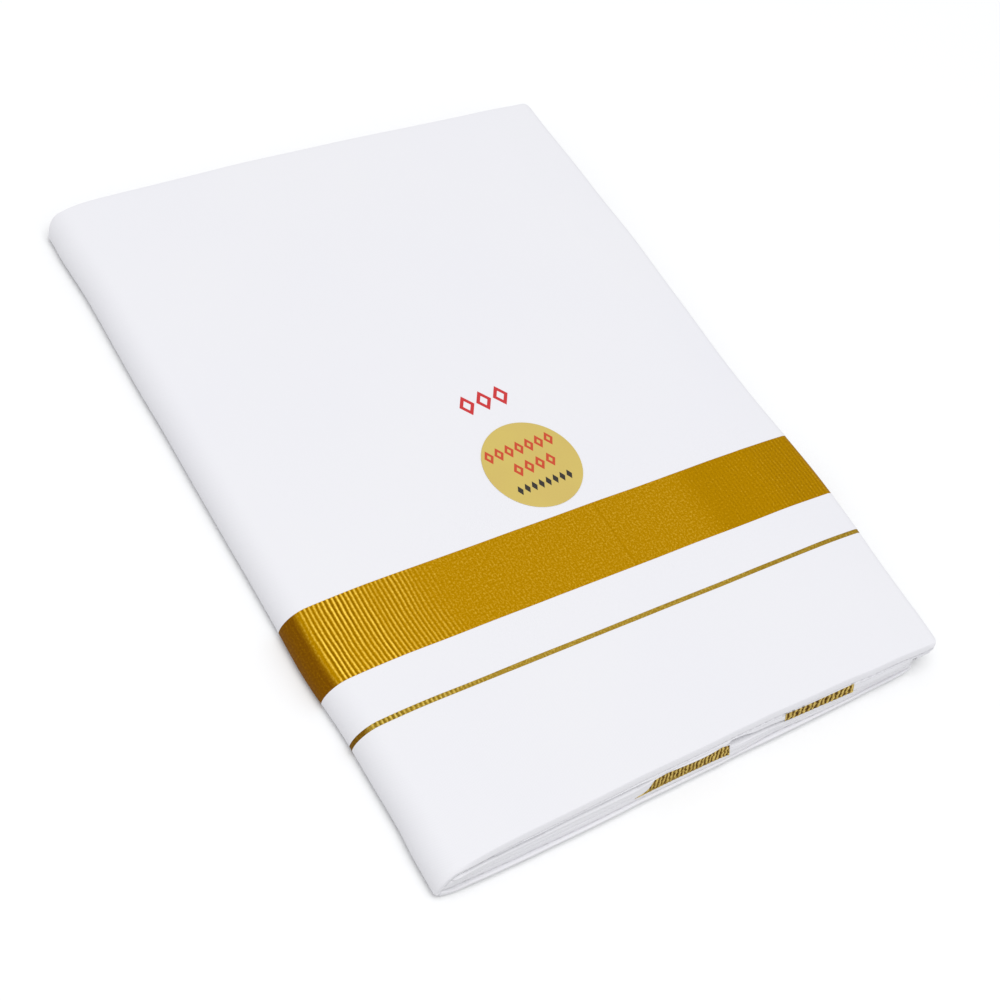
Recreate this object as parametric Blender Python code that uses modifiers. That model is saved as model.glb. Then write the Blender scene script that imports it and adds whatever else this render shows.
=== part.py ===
"""A dhoti as it is sold: one length of white cotton with a woven gold border, folded and pressed
into a flat packet, with a round label stuck on top.

Metres, +Z up. X runs along the border, from the packet's spine (-X) to its fold (+X), and -Y is the
edge that the border lies nearest. The origin is the middle of the underside.
The cloth is folded in four across its width, which makes a strip four plies thick, and the strip
is folded into eight passes that lie on each other. The outermost passes are one wall that wraps
the packet, made of the woven stretches that show on it. The passes inside it are one solid,
layered at its edges."""

import math
from collections import namedtuple

import bmesh
import bpy

MM = 0.001

# The packet as it lies.
HALF_WIDTH = 124.5 * MM
HALF_DEPTH = 168.0 * MM
HEIGHT = 17.0 * MM
PASS = 2.0 * MM  # one pass of the strip: four plies, pressed
GAP = 0.3 * MM  # between pieces that touch

# The border, measured along Y.
BAND_FAR = -49.8 * MM
BAND_NEAR = -82.9 * MM
LINE_FAR = -102.7 * MM
LINE_NEAR = -104.7 * MM

# The wall's two ends: it turns in under the fold, and its raw edge stops short of the fold below.
TUCK = 12.0 * MM
RAW_SHORT = 12.0 * MM

# The label.
LABEL_X, LABEL_Y = 3.95 * MM, -24.1 * MM
LABEL_RADIUS = 21.5 * MM
LABEL_THICK = 0.4 * MM

# A fold seen from its end. The top slopes down along its shoulder, turns over a round stretch to
# the crest, which is the furthest point out, and turns in under it to the foot. Insets run in
# from the crest and drops run down from the packet's top.
Fold = namedtuple("Fold", "shoulder_in shoulder_drop round_in crest_drop under_in foot_drop swell")
SPINE = Fold(36 * MM, 3.1 * MM, 9.5 * MM, 13.1 * MM, 4.6 * MM, HEIGHT, 0.55)
RIGHT_FOLD = Fold(30 * MM, 1.6 * MM, 4.0 * MM, 5.0 * MM, 4.2 * MM, 8.6 * MM, 0.4)
SHOULDER_POWER = 1.6

# The packet's sides, in from the half width: the stiff border stands out a little.
Side = namedtuple("Side", "y left_in right_in")
SIDES = (
    Side(168 * MM, 1.0 * MM, 2.1 * MM),
    Side(157 * MM, 1.6 * MM, 2.0 * MM),
    Side(149 * MM, 1.4 * MM, 2.0 * MM),
    Side(124 * MM, 2.3 * MM, 1.2 * MM),
    Side(99 * MM, 1.9 * MM, 1.0 * MM),
    Side(74 * MM, 1.6 * MM, 0.4 * MM),
    Side(49 * MM, 1.7 * MM, 0.9 * MM),
    Side(24 * MM, 1.4 * MM, 1.5 * MM),
    Side(-1 * MM, 1.1 * MM, 2.2 * MM),
    Side(-26 * MM, 0.9 * MM, 1.9 * MM),
    Side(-47 * MM, 0.6 * MM, 0.9 * MM),
    Side(-71 * MM, 0.2 * MM, 0.0 * MM),
    Side(-96 * MM, 1.9 * MM, 0.4 * MM),
    Side(-121 * MM, 2.0 * MM, 1.8 * MM),
    Side(-139 * MM, 2.0 * MM, 2.4 * MM),
    Side(-149 * MM, 1.4 * MM, 2.6 * MM),
    Side(-158 * MM, 1.2 * MM, 3.1 * MM),
    Side(-168 * MM, 1.1 * MM, 3.2 * MM),
)

# The far end, in from the half depth.
FarEnd = namedtuple("FarEnd", "x far_in")
FAR_ENDS = (
    FarEnd(-124 * MM, 1.6 * MM),
    FarEnd(-117 * MM, 2.8 * MM),
    FarEnd(-107 * MM, 1.9 * MM),
    FarEnd(-92 * MM, 2.2 * MM),
    FarEnd(-62 * MM, 1.6 * MM),
    FarEnd(-32 * MM, 0.8 * MM),
    FarEnd(-2 * MM, 0.9 * MM),
    FarEnd(28 * MM, 1.1 * MM),
    FarEnd(58 * MM, 1.8 * MM),
    FarEnd(88 * MM, 2.3 * MM),
    FarEnd(103 * MM, 2.3 * MM),
    FarEnd(116 * MM, 2.2 * MM),
    FarEnd(124 * MM, 2.6 * MM),
)

# The near end, in from the half depth: at the top's lip, over and under the gap between the
# passes, at the groove over the bottom pass and at the foot. gap_z is how high the gap runs.
NearEnd = namedtuple("NearEnd", "x lip over_gap under_gap groove foot gap_z")
NEAR_ENDS = tuple(
    NearEnd(*(value * MM for value in row))
    for row in (
        (-124, 2.1, 1.7, 1.5, 1.6, 1.8, 11.9),
        (-118, 2, 1.5, 1.2, 1.6, 1.2, 11.9),
        (-106, 2.3, 2.15, 1.8, 1.3, 0.72, 11.9),
        (-90, 2.85, 2.73, 2.4, 1.15, 0.66, 11.9),
        (-74, 3.25, 3.17, 2.8, 1.35, 0.84, 11.9),
        (-58, 3.65, 3.4, 3.05, 1.55, 1.02, 11.9),
        (-42, 4.2, 3.7, 3.3, 1.85, 1.4, 11.9),
        (-34, 4.5, 3.9, 3.5, 2.1, 1.75, 11.9),
        (-18, 4.7, 4.26, 4.25, 2.25, 2, 11.9),
        (-2, 4.88, 4.27, 4.25, 2.3, 2.3, 11.9),
        (6, 5.1, 4.25, 4.2, 2.3, 2.4, 11.8),
        (14, 5.35, 3.85, 3.45, 2.45, 2.8, 11.1),
        (22, 5.4, 4, 3.6, 2.8, 2.9, 10.3),
        (32, 5.65, 4.3, 3.9, 3.6, 2.95, 9.4),
        (42, 5.45, 4.25, 4.05, 3.65, 3.2, 8.7),
        (54, 5.4, 4.15, 3.9, 3.4, 3.5, 8.5),
        (70, 5.5, 3.9, 3.7, 3.6, 3.95, 8.4),
        (78, 5.2, 3.7, 3.65, 3.9, 4.15, 8.8),
        (86, 4.95, 3.65, 3.6, 4.3, 4.45, 9.5),
        (94, 5.1, 3.8, 3.75, 4.5, 4.55, 9.6),
        (102, 5.15, 4.2, 4.2, 4.6, 4.65, 9.4),
        (110, 5, 4.8, 4.7, 4.7, 4.8, 9),
        (124, 5, 5.1, 5.1, 5.1, 5.1, 9),
    )
)
LIP_Z, GROOVE_Z, FOOT_Z = 13.9 * MM, 3.9 * MM, 2.6 * MM
Corners = namedtuple("Corners", "far_left far_right near_left near_right")
CORNERS = Corners(4.8 * MM, 4.5 * MM, 1.2 * MM, 3.5 * MM)

# The wall towards a near or far edge, where its plies are folded: back is the way in from the
# edge, outer how far its outside turns in, and inner how deep its inside lies. The edge is
# plumper than the pressed wall.
Hem = namedtuple("Hem", "back outer inner")
HEM = (
    Hem(7.0 * MM, 0.0 * MM, PASS),
    Hem(4.2 * MM, 0.0 * MM, 2.3 * MM),
    Hem(2.0 * MM, 0.0 * MM, 3.2 * MM),
    Hem(1.15 * MM, 0.12 * MM, 3.6 * MM),
    Hem(0.6 * MM, 1.1 * MM, 3.75 * MM),
    Hem(0.12 * MM, 2.5 * MM, 3.55 * MM),
    Hem(0.0 * MM, 2.9 * MM, 3.2 * MM),
)

HEM_STEPS = 32
HEM_PAST = 0.5 * MM  # how far past the hem the top and bottom of the passes inside end

# The passes inside, level by level. z is the level's height where the gap between the passes
# runs at GAP_Z, and moves up with the gap where that runs higher. groove is how far the near and
# far faces stand in, and right_in how far the right side does; with none it follows the inside
# of the wall. The gap's own levels also stand in by its depth.
GAP_Z = 8.5 * MM
FAR_GAP_DEPTH = 0.5 * MM
Level = namedtuple("Level", "z groove right_in in_gap")
LEVELS = (
    Level(2.31 * MM, 0.9 * MM, 13.2 * MM, False),
    Level(2.7 * MM, 0.9 * MM, 12.8 * MM, False),
    Level(3.2 * MM, 0.9 * MM, 12.6 * MM, False),
    Level(3.7 * MM, 0.9 * MM, 12.6 * MM, False),
    Level(3.95 * MM, 0.9 * MM, 12.8 * MM, False),
    Level(4.1 * MM, 0.3 * MM, 12.4 * MM, False),
    Level(4.5 * MM, 0.0 * MM, 12.0 * MM, False),
    Level(4.85 * MM, 0.1 * MM, 12.0 * MM, False),
    Level(5.3 * MM, 0.3 * MM, 12.6 * MM, False),
    Level(5.42 * MM, 0.7 * MM, 13.0 * MM, False),
    Level(5.54 * MM, 0.3 * MM, 12.6 * MM, False),
    Level(6.2 * MM, 0.0 * MM, 11.9 * MM, False),
    Level(6.85 * MM, 0.3 * MM, 12.4 * MM, False),
    Level(7.0 * MM, 0.7 * MM, 12.9 * MM, False),
    Level(7.15 * MM, 0.3 * MM, 12.5 * MM, False),
    Level(7.6 * MM, 0.0 * MM, 11.9 * MM, False),
    Level(8.1 * MM, 0.3 * MM, 12.4 * MM, False),
    Level(8.3 * MM, 0.3 * MM, 12.9 * MM, True),
    Level(8.7 * MM, 0.3 * MM, 12.9 * MM, True),
    Level(8.9 * MM, 0.3 * MM, 12.9 * MM, False),
    Level(9.6 * MM, 0.1 * MM, 12.9 * MM, False),
    Level(10.3 * MM, 0.3 * MM, 12.9 * MM, False),
    Level(10.45 * MM, 0.7 * MM, 12.9 * MM, False),
    Level(10.6 * MM, 0.3 * MM, 12.9 * MM, False),
    Level(11.3 * MM, 0.1 * MM, 12.9 * MM, False),
    Level(11.5 * MM, 0.1 * MM, None, False),
    Level(12.2 * MM, 0.2 * MM, None, False),
    Level(12.7 * MM, 0.3 * MM, None, False),
    Level(13.2 * MM, 0.9 * MM, None, False),
    Level(13.8 * MM, 0.9 * MM, None, False),
    Level(14.3 * MM, 0.9 * MM, None, False),
    Level(14.69 * MM, 0.9 * MM, None, False),
)
# How deep the gap is along the near face.
GapDepth = namedtuple("GapDepth", "x depth")
GAP_DEPTHS = (
    GapDepth(-122 * MM, 0.6 * MM),
    GapDepth(-106 * MM, 1.4 * MM),
    GapDepth(-58 * MM, 1.8 * MM),
    GapDepth(-36 * MM, 1.6 * MM),
    GapDepth(-28 * MM, 0.3 * MM),
    GapDepth(7 * MM, 0.3 * MM),
    GapDepth(14 * MM, 2.2 * MM),
    GapDepth(34 * MM, 1.8 * MM),
    GapDepth(42 * MM, 0.6 * MM),
    GapDepth(72 * MM, 0.6 * MM),
    GapDepth(80 * MM, 0.2 * MM),
    GapDepth(124 * MM, 0.2 * MM),
)

# Two stretches of a gold cross band, on folds of the passes inside that show at the near edge.
# The heights are levels' heights.
CrossBand = namedtuple("CrossBand", "name x_from x_to z_from z_to")
CROSS_BANDS = (
    CrossBand("cross_band_left", -29.5 * MM, 9.4 * MM, 5.2 * MM, 8.35 * MM),
    CrossBand("cross_band_right", 38.1 * MM, 73.9 * MM, 9.0 * MM, 12.85 * MM),
)
CROSS_BAND_THICK = 1.5 * MM
CROSS_BAND_ROWS = 5
POCKET_DEEP = CROSS_BAND_THICK + GAP
POCKET_ROOM = 0.35 * MM  # over and under the gold, up to the levels that close the pocket

# Where the inner solid's outline takes its points: these, more between them and the corners.
NEAR_PLACES = tuple(x * MM for x in (-98, -80, -64, -48, -36, 14, 20, 28, 34, 80, 88, 98))
FAR_PLACES = tuple(x * MM for x in (-80, -54, -27, -9, 12, 36, 60, 84))
INNER_CORNER = 3.0 * MM
STEEP = 0.05 * MM  # the run of a pocket's side
SIDE_STEPS = 8


def row_value(rows, column, at):
    """The column's value where the rows' first column is at, on a smooth curve through the rows."""
    rows = sorted(rows, key=lambda row: row[0])
    keys = [row[0] for row in rows]
    values = [getattr(row, column) for row in rows]
    if at <= keys[0]:
        return values[0]
    if at >= keys[-1]:
        return values[-1]
    i = max(k for k in range(len(keys) - 1) if keys[k] <= at)

    def slope(k):
        low, high = max(k - 1, 0), min(k + 1, len(keys) - 1)
        return (values[high] - values[low]) / (keys[high] - keys[low])

    span = keys[i + 1] - keys[i]
    t = (at - keys[i]) / span
    return (
        values[i] * (1 + 2 * t) * (1 - t) ** 2
        + slope(i) * span * t * (1 - t) ** 2
        + values[i + 1] * t**2 * (3 - 2 * t)
        + slope(i + 1) * span * t**2 * (t - 1)
    )


def ease(low, high, at):
    """0 below low, 1 above high, and a soft step between."""
    t = min(max((at - low) / (high - low), 0.0), 1.0)
    return t * t * (3 - 2 * t)


def between(low, high, steps):
    """The steps - 1 places that divide the way from low to high."""
    return [low + (high - low) * k / steps for k in range(1, steps)]



def fold_drop(fold, inset):
    """How far the outside of a fold lies below the packet's top, above its crest."""
    drop = 0.0
    if inset < fold.shoulder_in:
        drop += fold.shoulder_drop * (1 - inset / fold.shoulder_in) ** SHOULDER_POWER
    if inset < fold.round_in:
        turn = 1 - max(inset, 0.0) / fold.round_in
        drop += (fold.crest_drop - fold.shoulder_drop) * (1 - math.sqrt(1 - turn**2))
    return drop


def fold_points(fold, shoulder_steps, round_steps, under_steps):
    """(inset, drop, swell) down the outside of a fold, from where its shoulder leaves the flat."""
    insets = [fold.shoulder_in]
    insets += between(fold.shoulder_in, fold.round_in, shoulder_steps)
    quarter = math.pi / 2
    for k in range(round_steps + 1):
        insets.append(fold.round_in * (1 - math.sin(quarter * k / round_steps)))
    points = [(inset, fold_drop(fold, inset)) for inset in insets]
    for k in range(1, under_steps + 1):
        angle = quarter * k / under_steps
        inset = fold.under_in * (1 - math.cos(angle))
        drop = fold.crest_drop + (fold.foot_drop - fold.crest_drop) * math.sin(angle)
        points.append((inset, drop))
    return [
        (inset, drop, 1 - (1 - fold.swell) * (1 - ease(fold.round_in, 2 * fold.round_in, inset)))
        for inset, drop in points
    ]


SPINE_POINTS = fold_points(SPINE, 3, 6, 3)
RIGHT_POINTS = fold_points(RIGHT_FOLD, 3, 4, 4)
TOP_STEPS = 5
BOTTOM_STEPS = 6


def wrap_section(y):
    """(x, z, swell) along the outside of the wall at y, from its tucked end over the top and
    round the spine to its raw end."""
    left = -HALF_WIDTH + row_value(SIDES, "left_in", y)
    right = HALF_WIDTH - row_value(SIDES, "right_in", y)
    points = [(right - TUCK, HEIGHT - RIGHT_FOLD.foot_drop, RIGHT_FOLD.swell)]
    points += [(right - i, HEIGHT - drop, swell) for i, drop, swell in reversed(RIGHT_POINTS)]
    top = between(right - RIGHT_FOLD.shoulder_in, left + SPINE.shoulder_in, TOP_STEPS)
    points += [(x, HEIGHT, 1.0) for x in top]
    points += [(left + i, HEIGHT - drop, swell) for i, drop, swell in SPINE_POINTS]
    flat_from, flat_to = left + SPINE.under_in, right - RAW_SHORT
    points += [(flat_from + 8 * MM, 0.0, 1.0)]
    points += [(x, 0.0, 1.0) for x in between(flat_from + 8 * MM, flat_to, BOTTOM_STEPS)]
    points += [(flat_to, 0.0, 1.0)]
    return points


def outward(points, i):
    """The section's outward direction at point i."""
    before, after = points[max(i - 1, 0)], points[min(i + 1, len(points) - 1)]
    dx, dz = after[0] - before[0], after[1] - before[1]
    length = math.hypot(dx, dz)
    return dz / length, -dx / length


def corner_in(x, y, left_radius, right_radius):
    """How far a rounded corner pulls the end in at x."""
    left = -HALF_WIDTH + row_value(SIDES, "left_in", y)
    right = HALF_WIDTH - row_value(SIDES, "right_in", y)
    pull = 0.0
    for radius, inset in ((left_radius, x - left), (right_radius, right - x)):
        if inset < radius:
            pull += radius - math.sqrt(radius**2 - (radius - max(inset, 0.0)) ** 2)
    return pull


def far_end(x):
    corner = corner_in(x, HALF_DEPTH, CORNERS.far_left, CORNERS.far_right)
    return HALF_DEPTH - row_value(FAR_ENDS, "far_in", x) - corner


def near_inset(x, z, low, low_z, high, high_z):
    """The near end's inset between the heights of two of its columns."""
    share = min(max((z - low_z) / (high_z - low_z), 0.0), 1.0)
    start, stop = row_value(NEAR_ENDS, low, x), row_value(NEAR_ENDS, high, x)
    return start + (stop - start) * share


def near_end(x, z):
    """The near edge of the wall at the height z."""
    middle = HEIGHT - RIGHT_FOLD.foot_drop
    if z > middle:
        inset = near_inset(x, z, "over_gap", middle, "lip", LIP_Z)
    else:
        inset = near_inset(x, z, "foot", FOOT_Z, "over_gap", middle)
    return inset - HALF_DEPTH + corner_in(x, -HALF_DEPTH, CORNERS.near_left, CORNERS.near_right)


def inner_end(x, z):
    """The near edge of the passes inside at the height z."""
    gap = row_value(NEAR_ENDS, "gap_z", x)
    if z > gap:
        inset = near_inset(x, z, "over_gap", gap, "lip", LIP_Z)
    else:
        inset = near_inset(x, z, "groove", GROOVE_Z, "under_gap", gap)
    return inset - HALF_DEPTH + corner_in(x, -HALF_DEPTH, CORNERS.near_left, CORNERS.near_right)


def near_z(z, x):
    """How high a level lies at the near edge, where the gap between the passes rises or falls."""
    gap, top = row_value(NEAR_ENDS, "gap_z", x), LEVELS[-1].z
    if z <= GROOVE_Z:
        return z
    if z <= GAP_Z:
        return GROOVE_Z + (z - GROOVE_Z) * (gap - GROOVE_Z) / (GAP_Z - GROOVE_Z)
    return top - (top - z) * (top - gap) / (top - GAP_Z)



def finish(name, bm, material, collection):
    bmesh.ops.remove_doubles(bm, verts=bm.verts, dist=1e-6)
    bmesh.ops.recalc_face_normals(bm, faces=bm.faces)
    bmesh.ops.triangulate(bm, faces=bm.faces)
    mesh = bpy.data.meshes.new(name)
    bm.to_mesh(mesh)
    bm.free()
    mesh.materials.append(material)
    mesh.shade_smooth()
    mesh.set_sharp_from_angle(angle=math.radians(40))
    solid = bpy.data.objects.new(name, mesh)
    collection.objects.link(solid)
    return solid


def grid_faces(bm, grid, closed=False):
    """Faces over a grid of vertices, whose rows may close on themselves."""
    for row, after in zip(grid, grid[1:]):
        for k in range(len(row) if closed else len(row) - 1):
            m = (k + 1) % len(row)
            bm.faces.new((row[k], row[m], after[m], after[k]))


def close_wall(bm, outer, inner):
    """Joins an outer and an inner grid of the same size along all four edges."""
    grid_faces(bm, outer)
    grid_faces(bm, inner)
    for a, b in ((outer[0], inner[0]), (outer[-1], inner[-1])):
        grid_faces(bm, [a, b])
    for k in (0, -1):
        grid_faces(bm, [[row[k] for row in outer], [row[k] for row in inner]])


def stretch_places(start, stop, hemmed_start, hemmed_stop, steps):
    """(y, hem row) along one line of a stretch of the wall, from its near to its far end."""
    flat = HEM[0]
    near = [(start + row.back, row) for row in reversed(HEM)] if hemmed_start else [(start, flat)]
    far = [(stop - row.back, row) for row in HEM] if hemmed_stop else [(stop, flat)]
    return near + [(y, flat) for y in between(near[-1][0], far[0][0], steps)] + far


def wall_stretch(name, y_near, y_far, steps, material, collection):
    """A stretch of the wrapping wall. With no y_near or y_far it runs to that edge's hem."""
    columns = []
    for x, z, _ in wrap_section(0.0):
        start = near_end(x, z) if y_near is None else y_near + GAP / 2
        stop = far_end(x) if y_far is None else y_far - GAP / 2
        columns.append(stretch_places(start, stop, y_near is None, y_far is None, steps))
    bm = bmesh.new()
    outer, inner = [], []
    for places in zip(*columns):
        outside, inside = [], []
        for i, (y, row) in enumerate(places):
            section = wrap_section(y)
            x, z, swell = section[i]
            nx, nz = outward(section, i)
            out, deep = row.outer * swell, PASS + (row.inner - PASS) * swell
            outside.append(bm.verts.new((x - nx * out, y, z - nz * out)))
            inside.append(bm.verts.new((x - nx * deep, y, z - nz * deep)))
        outer.append(outside)
        inner.append(inside)
    close_wall(bm, outer, inner)
    return finish(name, bm, material, collection)


def hem_inner(back, swell):
    """How deep the inside of the wall lies at this way in from its hemmed edge."""
    return PASS + (row_value(HEM, "inner", back) - PASS) * swell


def hem_clear(depth, swell):
    """How far in from a hemmed edge a point at this depth under the wrap clears the hem."""
    plumpest = max(HEM, key=lambda row: row.inner)
    if plumpest.inner * swell + PASS * (1 - swell) + 0.9 * GAP <= depth:
        return 0.0
    run = HEM[0].back - plumpest.back
    for share in range(HEM_STEPS):
        back = plumpest.back + run * share / HEM_STEPS
        if hem_inner(back, swell) + GAP <= depth:
            return back
    return HEM[0].back + HEM_PAST


def under_wrap(section, x, z):
    """A point's distance from the outside of the wrap, with the swell and the place of the wall
    nearest to it."""
    found = []
    for (ax, az, a_swell), (bx, bz, b_swell) in zip(section, section[1:]):
        dx, dz = bx - ax, bz - az
        t = ((x - ax) * dx + (z - az) * dz) / (dx * dx + dz * dz)
        t = min(max(t, 0.0), 1.0)
        wall_x, wall_z = ax + t * dx, az + t * dz
        distance = math.hypot(x - wall_x, z - wall_z)
        found.append((distance, max(a_swell, b_swell), wall_x, wall_z))
    return min(found)


def inside_at(section, z):
    """The furthest left and right that a pass inside the wall reaches at height z."""
    plumpest = max(row.inner for row in HEM)
    offsets = []
    for i, (x, height, swell) in enumerate(section):
        nx, nz = outward(section, i)
        at_fold = min((1 - swell) / (1 - SPINE.swell), 1.0)
        deep = PASS + GAP + (plumpest - PASS) * swell * at_fold
        offsets.append((x - nx * deep, height - nz * deep))
    crossings = [
        ax + (bx - ax) * (z - az) / (bz - az)
        for (ax, az), (bx, bz) in zip(offsets[1:], offsets[2:])
        if (az - z) * (bz - z) <= 0 and az != bz
    ]
    return min(crossings), max(crossings)


def groove_at(level, x, near):
    if not level.in_gap:
        return level.groove
    return level.groove + (row_value(GAP_DEPTHS, "depth", x) if near else FAR_GAP_DEPTH)


def face_y(level, x, section, near):
    """Where the near or far face of the passes inside lies at x on this level."""
    z = near_z(level.z, x) if near else level.z
    depth, swell, wall_x, wall_z = under_wrap(section, x, z)
    clear = hem_clear(depth, swell)
    groove = groove_at(level, x, near)
    if near:
        plain, hemmed = inner_end(x, z), near_end(wall_x, wall_z) + clear
        return (max(plain, hemmed) if clear else plain) + groove
    plain, hemmed = far_end(x), far_end(wall_x) - clear
    return (min(plain, hemmed) if clear else plain) - groove


def pocket_at(z, x):
    """How deep the near face is hollowed at this place, to take a gold stretch."""
    edge = GAP - STEEP / 2
    for band in CROSS_BANDS:
        across = band.x_from - edge <= x <= band.x_to + edge
        if across and band.z_from - POCKET_ROOM <= z <= band.z_to + POCKET_ROOM:
            return POCKET_DEEP
    return 0.0


def near_places():
    """The near face's fixed places, with a close pair at each side of each pocket."""
    places = list(NEAR_PLACES)
    for band in CROSS_BANDS:
        low, high = band.x_from - GAP, band.x_to + GAP
        places += [low, low + STEEP, high - STEEP, high] + between(low, high, 4)
    return sorted(places)


def inner_sides(level, y, z):
    left, right = inside_at(wrap_section(y), z)
    if level.right_in is not None:
        right = HALF_WIDTH - row_value(SIDES, "right_in", y) - level.right_in
    return left, right


def inner_face(level, near):
    """Points along the near or far face on this level, from left to right."""
    y_at = (HEM[0].back - HALF_DEPTH) * (1 if near else -1)
    section = wrap_section(y_at)
    left = inner_sides(level, y_at, near_z(level.z, -HALF_WIDTH) if near else level.z)[0]
    right = inner_sides(level, y_at, near_z(level.z, HALF_WIDTH) if near else level.z)[1]
    fixed = near_places() if near else list(FAR_PLACES)
    low, high = left + INNER_CORNER, right - INNER_CORNER
    places = [low] + between(low, fixed[0], 5) + fixed + between(fixed[-1], high, 4) + [high]
    points = []
    for x in places:
        y = face_y(level, x, section, near)
        points.append((x, y + pocket_at(level.z, x), near_z(level.z, x)) if near else (x, y, level.z))
    return points, left, right


def inner_ring(level):
    """The outline of the passes inside on this level, anticlockwise from the near left."""
    near, near_left, near_right = inner_face(level, True)
    far, far_left, far_right = inner_face(level, False)
    cut = INNER_CORNER * (1 - math.sqrt(0.5))
    ring = list(near)
    ring.append((near_right - cut, near[-1][1] + cut, near[-1][2]))
    low, high = near[-1][1] + INNER_CORNER, far[-1][1] - INNER_CORNER
    for k, y in enumerate([low] + between(low, high, SIDE_STEPS) + [high]):
        z = near[-1][2] + (level.z - near[-1][2]) * k / SIDE_STEPS
        ring.append((inner_sides(level, y, z)[1], y, z))
    ring.append((far_right - cut, far[-1][1] - cut, level.z))
    ring += reversed(far)
    ring.append((far_left + cut, far[0][1] - cut, level.z))
    low, high = near[0][1] + INNER_CORNER, far[0][1] - INNER_CORNER
    for k, y in enumerate([high] + between(high, low, SIDE_STEPS) + [low]):
        z = level.z + (near[0][2] - level.z) * k / SIDE_STEPS
        ring.append((inner_sides(level, y, z)[0], y, z))
    ring.append((near_left + cut, near[0][1] + cut, near[0][2]))
    return ring


def inner_folds(material, collection):
    """The passes inside the wall, as one solid of outlines from the lowest level up."""
    bm = bmesh.new()
    rings = [[bm.verts.new(place) for place in inner_ring(level)] for level in LEVELS]
    grid_faces(bm, rings, closed=True)
    bm.faces.new(list(reversed(rings[0])))
    bm.faces.new(rings[-1])
    return finish("inner_folds", bm, material, collection)


def cross_band(band, material, collection):
    """A gold stretch on the folds inside, flush with them in its pocket."""
    low, high = band.x_from - GAP, band.x_to + GAP
    xs = [band.x_from] + between(low, high, 4) + [band.x_to]
    heights = [band.z_from] + between(band.z_from, band.z_to, CROSS_BAND_ROWS) + [band.z_to]
    bm = bmesh.new()
    outer, inner = [], []
    for level_z in heights:
        places = [(x, near_z(level_z, x)) for x in xs]
        outer.append([bm.verts.new((x, inner_end(x, z), z)) for x, z in places])
        inner.append([bm.verts.new((x, inner_end(x, z) + CROSS_BAND_THICK, z)) for x, z in places])
    close_wall(bm, outer, inner)
    return finish(band.name, bm, material, collection)


def round_label(material, collection):
    """A thin round label on the top pass."""
    bpy.ops.mesh.primitive_cylinder_add(
        vertices=72,
        radius=LABEL_RADIUS,
        depth=LABEL_THICK,
        location=(LABEL_X, LABEL_Y, HEIGHT + GAP + LABEL_THICK / 2),
    )
    label = bpy.context.object
    label.name = label.data.name = "round_label"
    bevel = label.modifiers.new("edge", "BEVEL")
    bevel.width = LABEL_THICK / 4
    bevel.segments = 1
    label.data.materials.append(material)
    label.data.shade_smooth()
    label.data.set_sharp_from_angle(angle=math.radians(40))
    for owner in list(label.users_collection):
        owner.objects.unlink(label)
    collection.objects.link(label)
    return label


# ---- materials ----------------------------------------------------------------------------------


def make_material(name, colour, roughness, metallic):
    material = bpy.data.materials.new(name)
    material.use_nodes = True
    shader = material.node_tree.nodes["Principled BSDF"]
    shader.inputs["Base Color"].default_value = (*colour, 1.0)
    shader.inputs["Roughness"].default_value = roughness
    shader.inputs["Metallic"].default_value = metallic
    return material


def main():
    for old in list(bpy.data.objects):
        bpy.data.objects.remove(old, do_unlink=True)
    packet = bpy.data.collections.new("dhoti_cloth")
    bpy.context.scene.collection.children.link(packet)

    cotton = make_material("cotton", (0.86, 0.86, 0.89), 0.85, 0.0)
    zari = make_material("zari", (0.48, 0.26, 0.02), 0.42, 0.6)
    foil = make_material("label_foil", (0.66, 0.52, 0.20), 0.35, 0.5)

    wall_stretch("cloth_field", BAND_FAR, None, 7, cotton, packet)
    wall_stretch("zari_band", BAND_NEAR, BAND_FAR, 4, zari, packet)
    wall_stretch("cloth_gap", LINE_FAR, BAND_NEAR, 3, cotton, packet)
    wall_stretch("zari_line", LINE_NEAR, LINE_FAR, 1, zari, packet)
    wall_stretch("cloth_margin", None, LINE_NEAR, 4, cotton, packet)
    inner_folds(cotton, packet)
    for band in CROSS_BANDS:
        cross_band(band, zari, packet)
    round_label(foil, packet)


main()
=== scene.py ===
import math
from bisect import bisect_right

import bmesh
import bpy
from mathutils import Matrix, Vector, kdtree, noise


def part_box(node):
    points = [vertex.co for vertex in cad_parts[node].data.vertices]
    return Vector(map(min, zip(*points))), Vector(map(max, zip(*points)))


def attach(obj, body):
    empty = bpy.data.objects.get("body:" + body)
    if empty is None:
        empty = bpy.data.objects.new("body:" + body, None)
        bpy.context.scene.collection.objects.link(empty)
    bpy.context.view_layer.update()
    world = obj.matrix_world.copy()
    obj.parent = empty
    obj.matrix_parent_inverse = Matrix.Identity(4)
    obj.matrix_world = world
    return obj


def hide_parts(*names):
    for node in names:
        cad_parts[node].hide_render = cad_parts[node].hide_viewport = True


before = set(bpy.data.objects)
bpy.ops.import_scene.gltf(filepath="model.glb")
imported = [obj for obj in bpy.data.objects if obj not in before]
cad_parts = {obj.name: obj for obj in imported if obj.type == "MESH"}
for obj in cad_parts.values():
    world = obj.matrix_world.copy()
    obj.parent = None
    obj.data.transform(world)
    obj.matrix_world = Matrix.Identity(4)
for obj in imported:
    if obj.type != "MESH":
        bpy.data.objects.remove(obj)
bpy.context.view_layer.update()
mm = 0.001  # shapes below are worked out in millimetres and made in metres


def linked(piece):
    bpy.context.scene.collection.objects.link(piece)
    return piece


def noiseAt(x, y, seed=0.0):
    return noise.noise(Vector((x, y, seed)))


def ease(low, high, at):
    t = min(max((at - low) / (high - low), 0.0), 1.0)
    return t * t * (3 - 2 * t)


def mix(a, b, share):
    return a + (b - a) * share


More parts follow.
